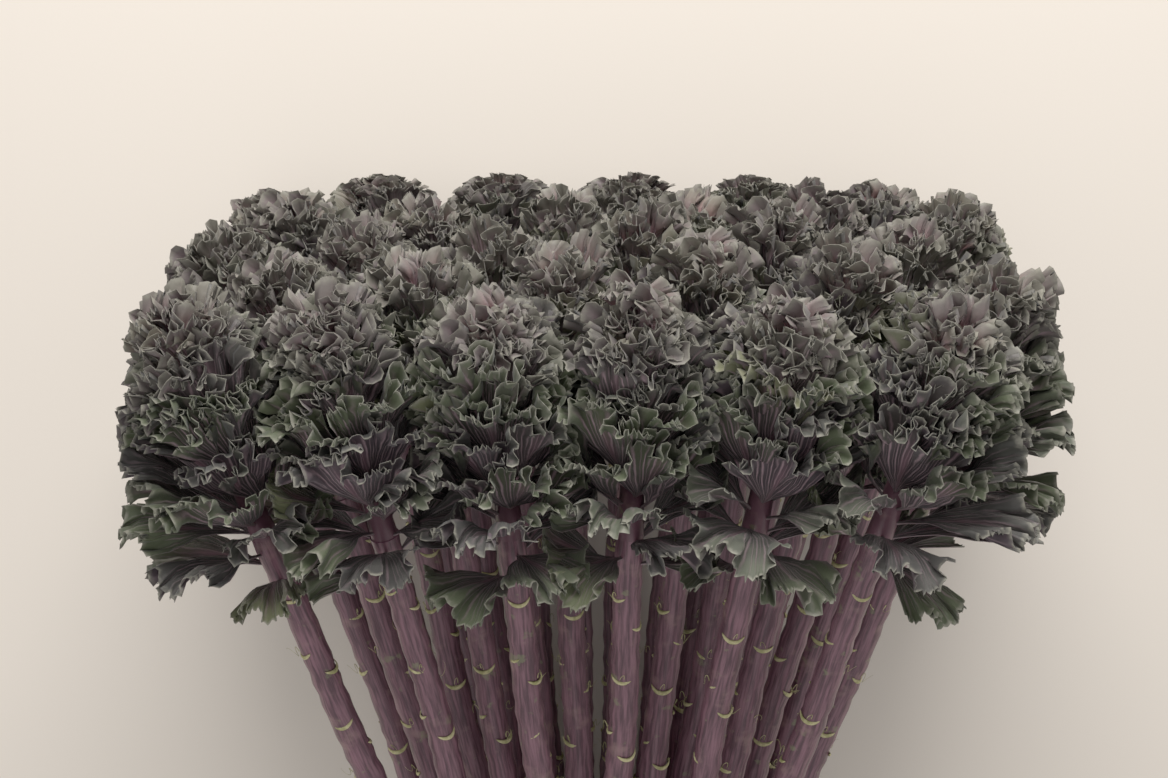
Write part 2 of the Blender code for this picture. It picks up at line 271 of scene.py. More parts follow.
# A leaf as a thin closed solid, with its fan coordinates and its outer face marked.
def leafShape(number):
    draw = np.random.RandomState(leafLook["seed"] * 100 + number)
    share = number / (leafLook["shapes"] - 1)
    across, along, faces, rim = fanGrid(leafLook["columns"], leafLook["rings"])
    surface = leafSurface(across, along, share, draw)
    corners = surface[faces]
    faceNormals = np.cross(corners[:, 1] - corners[:, 0], corners[:, 2] - corners[:, 0])
    normals = np.zeros_like(surface)
    for corner in range(3):
        np.add.at(normals, faces[:, corner], faceNormals)
    normals /= np.linalg.norm(normals, axis=1)[:, None] + 1e-12
    rib = np.exp(-(across * along / 0.05) ** 2) * (1 - along) ** 1.3
    half = (leafLook["thinnest"] * (1.6 - along) + leafLook["ribExtra"] * rib) / 2
    size = mix(1.0, leafLook["heartThin"], share)
    outer = surface + normals * half[:, None] * size
    inner = surface - normals * half[:, None] * size
    count = len(surface)
    solid = [tuple(face) for face in faces]
    solid += [(c + count, b + count, a + count) for a, b, c in faces]
    for here, after in zip(rim, rim[1:] + rim[:1]):
        solid.append((after, here, here + count))
        solid.append((after, here + count, after + count))
    mesh = bpy.data.meshes.new(f"leafShape_{number:02d}")
    mesh.from_pydata(np.concatenate([outer, inner]).tolist(), [], solid)
    ends = np.empty(len(mesh.edges) * 2, dtype=np.int32)
    mesh.edges.foreach_get("vertices", ends)
    ends = ends.reshape(-1, 2)
    onRim = np.isin(ends % count, rim).all(axis=1) & (ends[:, 0] // count == ends[:, 1] // count)
    mesh.attributes.new("sharp_edge", "BOOLEAN", "EDGE").data.foreach_set("value", onRim)
    outside = mesh.attributes.new("outside", "FLOAT", "POINT")
    outside.data.foreach_set("value", np.repeat([1.0, 0.0], count).astype(np.float32))
    fan = np.tile(np.stack([across * 0.5 + 0.5, along], axis=1), (2, 1))
    layer = mesh.uv_layers.new(name="leafFan")
    loops = np.empty(len(mesh.loops), dtype=np.int32)
    mesh.loops.foreach_get("vertex_index", loops)
    layer.data.foreach_set("uv", fan[loops].ravel().astype(np.float32))
    return bpy.data.objects.new(mesh.name, mesh)


# Shapes that a tree picks from are kept in a pool while it runs.
def fillPool(name, shapes):
    pool = bpy.data.collections.new(name)
    for shape in shapes:
        pool.objects.link(shape)
    return pool


def emptyPool(pool):
    for shape in list(pool.objects):
        bpy.data.objects.remove(shape, do_unlink=True)
    bpy.data.collections.remove(pool)


# Nodes that are added by calls, so that a formula reads like one.
class Nodes:
    # One node; a value is a number or another node's output, named by its socket.
    def add(self, kind, settings=None, output=0, **values):
        node = self.tree.nodes.new(kind)
        for key, value in (settings or {}).items():
            setattr(node, key, value)
        for title, value in values.items():
            title = title.replace("_", " ")
            socket = next(s for s in node.inputs if s.enabled and s.name == title)
            for item in value if isinstance(value, list) else [value]:
                self.plug(item, socket)
        live = [socket for socket in node.outputs if socket.enabled]
        return live[output] if isinstance(output, int) else node.outputs[output]

    def plug(self, value, socket):
        if isinstance(value, bpy.types.NodeSocket):
            self.tree.links.new(value, socket)
        else:
            socket.default_value = value

    def math(self, operation, *values, clamp=False):
        node = self.tree.nodes.new("ShaderNodeMath")
        node.operation = operation
        node.use_clamp = clamp
        for socket, value in zip(node.inputs, values):
            self.plug(value, socket)
        return node.outputs[0]


# A Geometry Nodes tree with named inputs.
class Tree(Nodes):
    def __init__(self, name, inputs):
        self.tree = bpy.data.node_groups.new(name, "GeometryNodeTree")
        self.tree.interface.new_socket("Geometry", in_out="OUTPUT", socket_type="NodeSocketGeometry")
        for title, kind in inputs.items():
            self.tree.interface.new_socket(title, in_out="INPUT", socket_type="NodeSocket" + kind)
        self.start = self.tree.nodes.new("NodeGroupInput")
        self.end = self.tree.nodes.new("NodeGroupOutput")

    def get(self, title):
        return self.start.outputs[title]

    def mixed(self, low, high, share):
        return self.math("ADD", low, self.math("MULTIPLY", self.math("SUBTRACT", high, low), share))

    # A random value for each point; the step keeps it apart from the tree's other ones.
    def random(self, low, high, step):
        seed = self.math("ADD", self.get("Seed"), step)
        return self.add("FunctionNodeRandomValue", {"data_type": "FLOAT"}, Min=low, Max=high, Seed=seed)

    def vector(self, x, y, z):
        return self.add("ShaderNodeCombineXYZ", X=x, Y=y, Z=z)

    def stored(self, geometry, name, value, domain="POINT"):
        return self.add("GeometryNodeStoreNamedAttribute", {"data_type": "FLOAT", "domain": domain},
                        Geometry=geometry, Name=name, Value=value)

    def finish(self, geometry):
        self.plug(geometry, self.end.inputs[0])
        return self.tree


# Runs a tree on an empty object and returns what it makes as a plain mesh.
def runTree(group, name, values):
    host = bpy.data.objects.new(name, bpy.data.meshes.new(name + "Host"))
    bpy.context.scene.collection.objects.link(host)
    modifier = host.modifiers.new("nodes", "NODES")
    modifier.node_group = group
    for item in group.interface.items_tree:
        if item.in_out == "INPUT" and item.name in values:
            modifier[item.identifier] = values[item.name]
    seen = host.evaluated_get(bpy.context.evaluated_depsgraph_get())
    mesh = bpy.data.meshes.new_from_object(seen)
    bpy.data.objects.remove(host, do_unlink=True)
    return mesh


# One head: leaves in a spiral up a slim axis, larger and wider open below.
headLook = {
    "leaves": 45,
    "innerMissing": 12,        # low leaves that a plant inside the bunch has shed
    "rootLow": -0.036, "rootHigh": 0.126, "rootCurve": 0.72,
    "rootLowSpread": (0.6, 1.1),
    "reach": 0.165, "reachSpread": (0.94, 1.04),                # the roots' heights are for this reach
    "tiltLow": 50, "tiltHigh": 6, "tiltCurve": 1.45,            # lean of a leaf at its root, degrees
    "opening": 12,                         # extra lean of a border plant's outer leaves
    "outwardLast": 22, "outwardSpread": 128,
    "sizeSpread": 0.08, "tiltSpread": 7,
    "axisRadius": 0.0090, "axisTip": 0.0045, "axisPoints": 9, "axisSides": 14,
    "spiral": 137.508,
    "shapeWindow": 2.999,                  # each leaf picks one of about three neighbouring shapes
    "seed": 5,
}


def headTree():
    tree = Tree("kaleHead", {
        "Leaves": "Int", "Missing": "Int", "Root low": "Float", "Root high": "Float",
        "Root curve": "Float", "Tilt low": "Float", "Tilt high": "Float", "Tilt curve": "Float",
        "Opening": "Float", "Facing": "Float", "Outward last": "Int", "Outward spread": "Float",
        "Turn": "Float", "Spiral": "Float", "Size spread": "Float", "Tilt spread": "Float",
        "Axis radius": "Float", "Axis tip": "Float", "Axis points": "Int", "Axis sides": "Int",
        "Shape count": "Int", "Shape window": "Float", "Seed": "Int", "Leaf shapes": "Collection",
        "Leaf finish": "Material", "Axis finish": "Material",
    })
    number = tree.math("ADD", tree.add("GeometryNodeInputIndex"), tree.get("Missing"))
    last = tree.math("SUBTRACT", tree.get("Leaves"), 1)
    share = tree.math("DIVIDE", number, last)
    spiral = tree.math("MULTIPLY", number, tree.get("Spiral"))
    free = tree.math("ADD", spiral, tree.get("Turn"))
    # Low leaves of a border plant are swung round to the outer side.
    part = tree.math("FRACT", tree.math("ADD", tree.math("DIVIDE", free, 2 * math.pi), 0.5))
    swing = tree.math("MULTIPLY", tree.math("SUBTRACT", tree.math("MULTIPLY", part, 2), 1),
                      tree.get("Outward spread"))
    faced = tree.math("ADD", tree.get("Facing"), swing)
    low = tree.math("LESS_THAN", number, tree.get("Outward last"))
    turn = tree.mixed(free, faced, low)
    towards = tree.math("COSINE", tree.math("SUBTRACT", turn, tree.get("Facing")))
    towards = tree.math("MAXIMUM", towards, 0)
    opening = tree.math("MULTIPLY", tree.math("MULTIPLY", towards, tree.get("Opening")),
                        tree.math("SUBTRACT", 1, share))
    lean = tree.mixed(tree.get("Tilt low"), tree.get("Tilt high"),
                      tree.math("POWER", share, tree.get("Tilt curve")))
    lean = tree.math("ADD", lean, opening)
    wobble = tree.get("Tilt spread")
    lean = tree.math("ADD", lean, tree.math("MULTIPLY", wobble, tree.random(-1, 1, 0)))
    aside = tree.math("MULTIPLY", wobble, tree.random(-0.7, 0.7, 1))
    height = tree.mixed(tree.get("Root low"), tree.get("Root high"),
                        tree.math("POWER", share, tree.get("Root curve")))
    count = tree.math("SUBTRACT", tree.get("Leaves"), tree.get("Missing"))
    points = tree.add("GeometryNodePoints", Count=count, Position=tree.vector(0, 0, height))
    window = tree.get("Shape window")
    pick = tree.math("MULTIPLY", share, tree.math("SUBTRACT", tree.get("Shape count"), window))
    pick = tree.math("ADD", pick, tree.random(0, window, 2))
    shapes = tree.add("GeometryNodeCollectionInfo", Collection=tree.get("Leaf shapes"),
                      Separate_Children=True, Reset_Children=True)
    size = tree.math("MULTIPLY", tree.get("Size spread"), tree.random(-1, 1, 3))
    size = tree.math("ADD", size, 1)
    rotation = tree.add("FunctionNodeEulerToRotation", Euler=tree.vector(aside, lean, turn))
    leaves = tree.add("GeometryNodeInstanceOnPoints", Points=points, Instance=shapes,
                      Pick_Instance=True, Instance_Index=tree.math("FLOOR", pick),
                      Rotation=rotation, Scale=tree.vector(size, size, size))
    leaves = tree.stored(leaves, "leafShare", share, "INSTANCE")
    leaves = tree.stored(leaves, "leafTint", tree.random(0, 1, 4), "INSTANCE")
    leaves = tree.add("GeometryNodeRealizeInstances", Geometry=leaves)
    leaves = tree.add("GeometryNodeSetMaterial", Geometry=leaves, Material=tree.get("Leaf finish"))
    line = tree.add("GeometryNodeCurvePrimitiveLine", End=tree.vector(0, 0, tree.get("Root high")))
    line = tree.add("GeometryNodeResampleCurve", Curve=line, Count=tree.get("Axis points"))
    factor = tree.add("GeometryNodeSplineParameter")
    ring = tree.add("GeometryNodeCurvePrimitiveCircle", Resolution=tree.get("Axis sides"), Radius=1.0)
    axis = tree.add("GeometryNodeCurveToMesh", Curve=line, Profile_Curve=ring, Fill_Caps=True,
                    Scale=tree.mixed(tree.get("Axis radius"), tree.get("Axis tip"), factor))
    axis = tree.add("GeometryNodeRealizeInstances", Geometry=axis)
    axis = tree.add("GeometryNodeSetMaterial", Geometry=axis, Material=tree.get("Axis finish"))
    return tree.finish(tree.add("GeometryNodeJoinGeometry", Geometry=[leaves, axis]))


# Draws leaves in where the next plants, the floor and the model's box leave them less room.
def crowd(points, plant):
    fromFocus = points - focus
    onLine = focus + np.outer(fromFocus @ plant["line"], plant["line"])
    spokes = points - onLine
    towards = -(spokes @ plant["walls"].T)
    room = (onLine - focus) @ plant["walls"].T + bunch["interlock"]
    use = np.where(towards > 1e-6, towards / room, 0).max(axis=1)
    soft = bunch["softReach"]
    crowded = soft + (1 - soft) * (1 - np.exp(-(use - soft) / (bunch["crowdEase"] * (1 - soft))))
    reach = np.where(use > soft, crowded / np.maximum(use, 1e-6), 1.0)
    points = onLine + spokes * reach[:, None]
    press = bunch["floorPress"]
    low = points[:, 2] < press
    points[low, 2] = press * np.exp((points[low, 2] - press) / press) + bunch["floorGap"]
    inside, span = bunch["sideRoom"], bunch["sideRoom"] + bunch["sideSlack"]
    for axis, sign in ((0, -1), (0, 1), (1, -1), (1, 1), (2, 1)):
        limit = cadBox[max(sign, 0)][axis]
        over = sign * (points[:, axis] - limit) + inside
        held = limit + sign * (span * (1 - np.exp(-over / span)) - inside)
        points[:, axis] = np.where(over > 0, held, points[:, axis])
    return points


# Moves a mesh that was made at the origin to its plant, by way of a rule for its points.
def placeMesh(mesh, plant, start, rule):
    turn = np.array([plant["right"], plant["front"], plant["line"]])
    placed = rule(plant[start] + meshPoints(mesh) @ turn)
    mesh.vertices.foreach_set("co", placed.ravel())
    mesh.update()


def finishPiece(name, mesh, node):
    mesh.name = name
    mesh.shade_smooth()
    piece = bpy.data.objects.new(name, mesh)
    bpy.context.scene.collection.objects.link(piece)
    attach(piece, "root")
    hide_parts(node)
    return piece


def makeHeads(leafSkin, axisSkin):
    shapes = fillPool("leafShapes", [leafShape(number) for number in range(leafLook["shapes"])])
    tree = headTree()
    heads = []
    for plant in plants:
        number = plant["number"]
        draw = np.random.RandomState(headLook["seed"] * 1000 + number)
        scale = plant["reach"] / headLook["reach"] * draw.uniform(*headLook["reachSpread"])
        rootLow = headLook["rootLow"] * draw.uniform(*headLook["rootLowSpread"])
        mesh = runTree(tree, f"kaleHead{number:02d}", {
            "Leaves": headLook["leaves"],
            "Missing": 0 if plant["onBorder"] else headLook["innerMissing"],
            "Root low": rootLow, "Root high": headLook["rootHigh"] * scale,
            "Root curve": headLook["rootCurve"], "Tilt curve": headLook["tiltCurve"],
            "Tilt low": math.radians(headLook["tiltLow"]),
            "Tilt high": math.radians(headLook["tiltHigh"]),
            "Opening": math.radians(headLook["opening"]) if plant["onBorder"] else 0.0,
            "Facing": plant["facing"],
            "Outward last": headLook["outwardLast"] if plant["onBorder"] else 0,
            "Outward spread": math.radians(headLook["outwardSpread"]),
            "Turn": float(draw.uniform(0, 6.28)), "Spiral": math.radians(headLook["spiral"]),
            "Size spread": headLook["sizeSpread"], "Tilt spread": math.radians(headLook["tiltSpread"]),
            "Axis radius": headLook["axisRadius"], "Axis tip": headLook["axisTip"],
            "Axis points": headLook["axisPoints"], "Axis sides": headLook["axisSides"],
            "Shape count": leafLook["shapes"], "Shape window": headLook["shapeWindow"],
            "Seed": number * 17, "Leaf shapes": shapes,
            "Leaf finish": leafSkin, "Axis finish": axisSkin,
        })
        placeMesh(mesh, plant, "collar", lambda points: crowd(points, plant))
        heads.append(finishPiece(f"kaleHead{number:02d}", mesh, f"kale_head_{number:02d}"))
    emptyPool(shapes)
    return heads


# One stem: a slightly crooked purple rod with pale leaf scars and curly fibres.
stemLook = {
    "cutRadius": 0.0107, "collarRadius": 0.0092,
    "sides": 20, "points": 56,
    "crook": 0.0012, "swayX": 31.0, "swayY": 23.0,              # slow bends, in radians a metre
    "swell": 0.0006,                                            # a little thicker at each scar
    "scarSpacing": 0.021, "scarStart": 0.012, "scarJitter": 0.003,
    "scarWidth": 58,                                            # half the scar's angle, degrees
    "scarSag": 0.42, "scarThick": 0.17, "scarBulge": 0.11,      # shares of the stem's radius
    "threadKinds": 5, "threadShare": 0.75, "threadSize": 0.00035,
    "seed": 3,
}


# A pale crescent on a stem of radius one: where a leaf has dropped off.
def scarShape():
    steps, bands = 12, 4       # along the crescent and over its back
    wide = math.radians(stemLook["scarWidth"])
    points = []
    for step in range(steps + 1):
        along = 2 * step / steps - 1
        taper = (1 - abs(along) ** 2.6) ** 0.6
        for band in range(bands + 1):
            over = math.pi * band / bands
            rise = stemLook["scarBulge"] * taper * math.sin(over)
            radius = 0.97 + rise           # sunk a little into the stem
            height = stemLook["scarSag"] * (along * along - 0.6)
            height += stemLook["scarThick"] * taper * math.cos(over)
            angle = along * wide
            points.append((radius * math.cos(angle), radius * math.sin(angle), height))
    shape = bmesh.new()
    verts = [shape.verts.new(point) for point in points]
    row = bands + 1
    for step in range(steps):
        for band in range(bands):
            here = step * row + band
            shape.faces.new((verts[here], verts[here + row], verts[here + row + 1], verts[here + 1]))
        here = step * row
        shape.faces.new((verts[here + bands], verts[here + row + bands], verts[here + row], verts[here]))
    bmesh.ops.remove_doubles(shape, verts=shape.verts, dist=0.001)
    bmesh.ops.holes_fill(shape, edges=shape.edges, sides=0)
    bmesh.ops.triangulate(shape, faces=shape.faces)
    bmesh.ops.recalc_face_normals(shape, faces=shape.faces)
    mesh = bpy.data.meshes.new("scarShape")
    shape.to_mesh(mesh)
    shape.free()
    return bpy.data.objects.new("scarShape", mesh)


# A thin curly fibre that hangs from a scar, on a stem of radius one.
def threadShape(number):
    draw = np.random.RandomState(stemLook["seed"] * 50 + number)
    turns = draw.uniform(0.5, 1.3)
    size = draw.uniform(0.25, 0.5)
    side = draw.choice([-1, 1])
    centre = []
    steps, corners = 14, 3
    for step in range(steps + 1):
        share = step / steps
        angle = share * turns * 2 * math.pi
        centre.append((1.0 + 0.55 * share + size * 0.5 * math.sin(angle) * share,
                       side * (0.2 + size * share * math.cos(angle)),
                       0.15 + size * math.sin(angle) + 0.25 * share))
    thick = stemLook["threadSize"] / stemLook["cutRadius"]
    shape = bmesh.new()
    rings = []
    for step, point in enumerate(centre):
        before = Vector(centre[max(step - 1, 0)])
        after = Vector(centre[min(step + 1, steps)])
        turn = (after - before).to_track_quat("Z", "Y")
        taper = thick * (1 - 0.7 * step / steps)
        angles = [2 * math.pi * corner / corners for corner in range(corners)]
        spokes = [Vector((taper * math.cos(angle), taper * math.sin(angle), 0)) for angle in angles]
        rings.append([shape.verts.new(Vector(point) + turn @ spoke) for spoke in spokes])
    for lower, upper in zip(rings, rings[1:]):
        for corner in range(corners):
            after = (corner + 1) % corners
            shape.faces.new((lower[corner], lower[after], upper[after], upper[corner]))
    shape.faces.new(rings[0])
    shape.faces.new(rings[-1])
    bmesh.ops.recalc_face_normals(shape, faces=shape.faces)
    mesh = bpy.data.meshes.new(f"threadShape_{number}")
    shape.to_mesh(mesh)
    shape.free()
    return bpy.data.objects.new(mesh.name, mesh)


def stemTree():
    tree = Tree("kaleStem", {
        "Length": "Float", "Cut radius": "Float", "Collar radius": "Float", "Sides": "Int",
        "Points": "Int", "Crook": "Float", "Sway X": "Float", "Sway Y": "Float", "Swell": "Float",
        "Scar spacing": "Float", "Scar start": "Float", "Scar jitter": "Float",
        "Thread share": "Float", "Thread window": "Float", "Turn": "Float", "Spiral": "Float",
        "Seed": "Int", "Scar": "Object", "Threads": "Collection",
        "Skin": "Material", "Scar finish": "Material",
    })
    length = tree.get("Length")
    line = tree.add("GeometryNodeCurvePrimitiveLine", End=tree.vector(0, 0, length))
    line = tree.add("GeometryNodeResampleCurve", Curve=line, Count=tree.get("Points"))
    factor = tree.add("GeometryNodeSplineParameter")
    height = tree.math("MULTIPLY", factor, length)
    hump = tree.math("SINE", tree.math("MULTIPLY", factor, math.pi))
    seed = tree.math("MULTIPLY", tree.get("Seed"), 1.7)
    swayX = tree.math("SINE", tree.math("ADD", tree.math("MULTIPLY", height, tree.get("Sway X")), seed))
    swayY = tree.math("COSINE", tree.math("ADD", tree.math("MULTIPLY", height, tree.get("Sway Y")), seed))
    reach = tree.math("MULTIPLY", hump, tree.get("Crook"))
    offset = tree.vector(tree.math("MULTIPLY", swayX, reach), tree.math("MULTIPLY", swayY, reach), 0)
    line = tree.add("GeometryNodeSetPosition", Geometry=line, Offset=offset)
    knots = tree.math("DIVIDE", tree.math("MULTIPLY", height, 2 * math.pi), tree.get("Scar spacing"))
    swell = tree.math("MULTIPLY", tree.math("SINE", knots), tree.get("Swell"))
    radius = tree.mixed(tree.get("Cut radius"), tree.get("Collar radius"), factor)
    radius = tree.math("ADD", radius, swell)
    line = tree.stored(line, "along", height)
    ring = tree.add("GeometryNodeCurvePrimitiveCircle", Resolution=tree.get("Sides"), Radius=1.0)
    ring = tree.stored(ring, "around", tree.add("GeometryNodeSplineParameter"))
    rod = tree.add("GeometryNodeCurveToMesh", Curve=line, Profile_Curve=ring, Scale=radius, Fill_Caps=True)
    rod = tree.add("GeometryNodeSetMaterial", Geometry=rod, Material=tree.get("Skin"))
    number = tree.add("GeometryNodeInputIndex")
    usable = tree.math("SUBTRACT", length, tree.math("MULTIPLY", tree.get("Scar start"), 2))
    count = tree.math("FLOOR", tree.math("DIVIDE", usable, tree.get("Scar spacing")))
    at = tree.math("ADD", tree.math("MULTIPLY", number, tree.get("Scar spacing")), tree.get("Scar start"))
    jitter = tree.get("Scar jitter")
    at = tree.math("ADD", at, tree.random(tree.math("MULTIPLY", jitter, -1), jitter, 0))
    points = tree.add("GeometryNodePoints", Count=count, Position=tree.vector(0, 0, at))
    turn = tree.math("ADD", tree.math("MULTIPLY", number, tree.get("Spiral")), tree.get("Turn"))
    girth = tree.mixed(tree.get("Cut radius"), tree.get("Collar radius"), tree.math("DIVIDE", at, length))
    size = tree.math("MULTIPLY", girth, tree.random(0.97, 1.05, 1))
    rotation = tree.add("FunctionNodeEulerToRotation", Euler=tree.vector(0, 0, turn))
    scar = tree.add("GeometryNodeObjectInfo", output="Geometry", Object=tree.get("Scar"))
    scars = tree.add("GeometryNodeInstanceOnPoints", Points=points, Instance=scar, Rotation=rotation,
                     Scale=tree.vector(girth, girth, size))
    pool = tree.add("GeometryNodeCollectionInfo", Collection=tree.get("Threads"),
                    Separate_Children=True, Reset_Children=True)
    some = tree.math("LESS_THAN", tree.random(0, 1, 2), tree.get("Thread share"))
    pick = tree.math("FLOOR", tree.random(0, tree.get("Thread window"), 3))
    threads = tree.add("GeometryNodeInstanceOnPoints", Points=points, Selection=some, Instance=pool,
                       Pick_Instance=True, Instance_Index=pick, Rotation=rotation,
                       Scale=tree.vector(girth, girth, size))
    marks = tree.add("GeometryNodeJoinGeometry", Geometry=[scars, threads])
    marks = tree.add("GeometryNodeRealizeInstances", Geometry=marks)
    marks = tree.add("GeometryNodeSetMaterial", Geometry=marks, Material=tree.get("Scar finish"))
    return tree.finish(tree.add("GeometryNodeJoinGeometry", Geometry=[rod, marks]))


# Keeps a stem's underside just above the floor.
def aboveFloor(points):
    points[:, 2] = np.maximum(points[:, 2], bunch["floorGap"])
    return points


# Gives the sawn end its own finish, with a point in its middle for the pith.
def markCutFace(mesh, cutFinish):
    mesh.materials.append(cutFinish)
    slot = len(mesh.materials) - 1
    shape = bmesh.new()
    shape.from_mesh(mesh)
    pith = shape.verts.layers.float.new("pith")
    caps = [face for face in shape.faces if len(face.verts) > 4]
    for face in caps:
        face.material_index = slot
    poked = bmesh.ops.poke(shape, faces=caps)
    for vert in poked["verts"]:
        vert[pith] = 1.0
    bmesh.ops.triangulate(shape, faces=[face for face in shape.faces if len(face.verts) > 4])
    shape.to_mesh(mesh)
    shape.free()


def makeStems(skin, scarFinish, cutFinish):
    scar = scarShape()
    threads = fillPool("threadShapes", [threadShape(number) for number in range(stemLook["threadKinds"])])
    tree = stemTree()
    stems = []
    for plant in plants:
        number = plant["number"]
        length = float(np.linalg.norm(plant["collar"] - plant["cut"]))
        mesh = runTree(tree, f"kaleStem{number:02d}", {
            "Length": length, "Cut radius": stemLook["cutRadius"],
            "Collar radius": stemLook["collarRadius"], "Sides": stemLook["sides"],
            "Points": stemLook["points"], "Crook": stemLook["crook"], "Swell": stemLook["swell"],
            "Sway X": stemLook["swayX"], "Sway Y": stemLook["swayY"],
            "Scar spacing": stemLook["scarSpacing"], "Scar start": stemLook["scarStart"],
            "Scar jitter": stemLook["scarJitter"], "Thread share": stemLook["threadShare"],
            "Thread window": stemLook["threadKinds"] - 0.001, "Turn": number * 1.3,
            "Spiral": math.radians(headLook["spiral"]), "Seed": number * 13,
            "Scar": scar, "Threads": threads, "Skin": skin, "Scar finish": scarFinish,
        })
        markCutFace(mesh, cutFinish)
        placeMesh(mesh, plant, "cut", aboveFloor)
        stems.append(finishPiece(f"kaleStem{number:02d}", mesh, f"kale_stem_{number:02d}"))
    bpy.data.objects.remove(scar, do_unlink=True)
    emptyPool(threads)
    return stems


# A material around one Principled shader.
class Finish(Nodes):
    def __init__(self, name, roughness, specular):
        self.material = bpy.data.materials.new(name)
        self.material.use_nodes = True
        self.tree = self.material.node_tree
        self.shader = self.tree.nodes["Principled BSDF"]
        self.shader.inputs["Roughness"].default_value = roughness
        self.shader.inputs["Specular IOR Level"].default_value = specular
        self.shader.inputs["Sheen Roughness"].default_value = 0.5

    def mixed(self, share, first, second):
        return self.add("ShaderNodeMix", {"data_type": "RGBA"}, Factor=share, A=first, B=second)

    def ramp(self, value, low, high):
        return self.add("ShaderNodeMapRange", {"interpolation_type": "SMOOTHSTEP"},
                        Value=value, From_Min=low, From_Max=high)

    def attribute(self, name):
        return self.add("ShaderNodeAttribute", {"attribute_name": name}, output=2)

    def noise(self, scale, detail, vector=None):
        vector = vector or self.add("ShaderNodeTexCoord", output="Object")
        return self.add("ShaderNodeTexNoise", Vector=vector, Scale=scale, Detail=detail, Roughness=0.55)

    def bump(self, height, distance, strength, normal=None):
        values = {"Height": height, "Distance": distance, "Strength": strength}
        if normal:
            values["Normal"] = normal
        return self.add("ShaderNodeBump", **values)

    def colour(self, socket):
        self.plug(socket, self.shader.inputs["Base Color"])

    def normal(self, socket):
        self.plug(socket, self.shader.inputs["Normal"])


# A colour given as it looks on a screen, from 0 to 255.
def colour(red, green, blue):
    return tuple(((value / 255 + 0.055) / 1.055) ** 2.4 for value in (red, green, blue)) + (1.0,)


leafColours = {
    "outer": colour(82, 69, 77), "outerDark": colour(60, 52, 58),
    "inner": colour(73, 72, 69), "innerDark": colour(52, 51, 50),
    "green": colour(74, 82, 60), "yellowGreen": colour(126, 126, 88),
    "vein": colour(172, 144, 154), "rib": colour(146, 104, 120),
    "margin": colour(134, 132, 120), "wine": colour(122, 62, 72),
    # upper is painted light: a paler colour on the upper leaves that stands in for the even light on the
    # tops of the heads.
    "wineDark": colour(76, 44, 53), "upper": colour(130, 121, 117),
    "veins": 13, "veinWidth": 0.0099, "veinWander": 0.035,      # shares of the fan's width
}


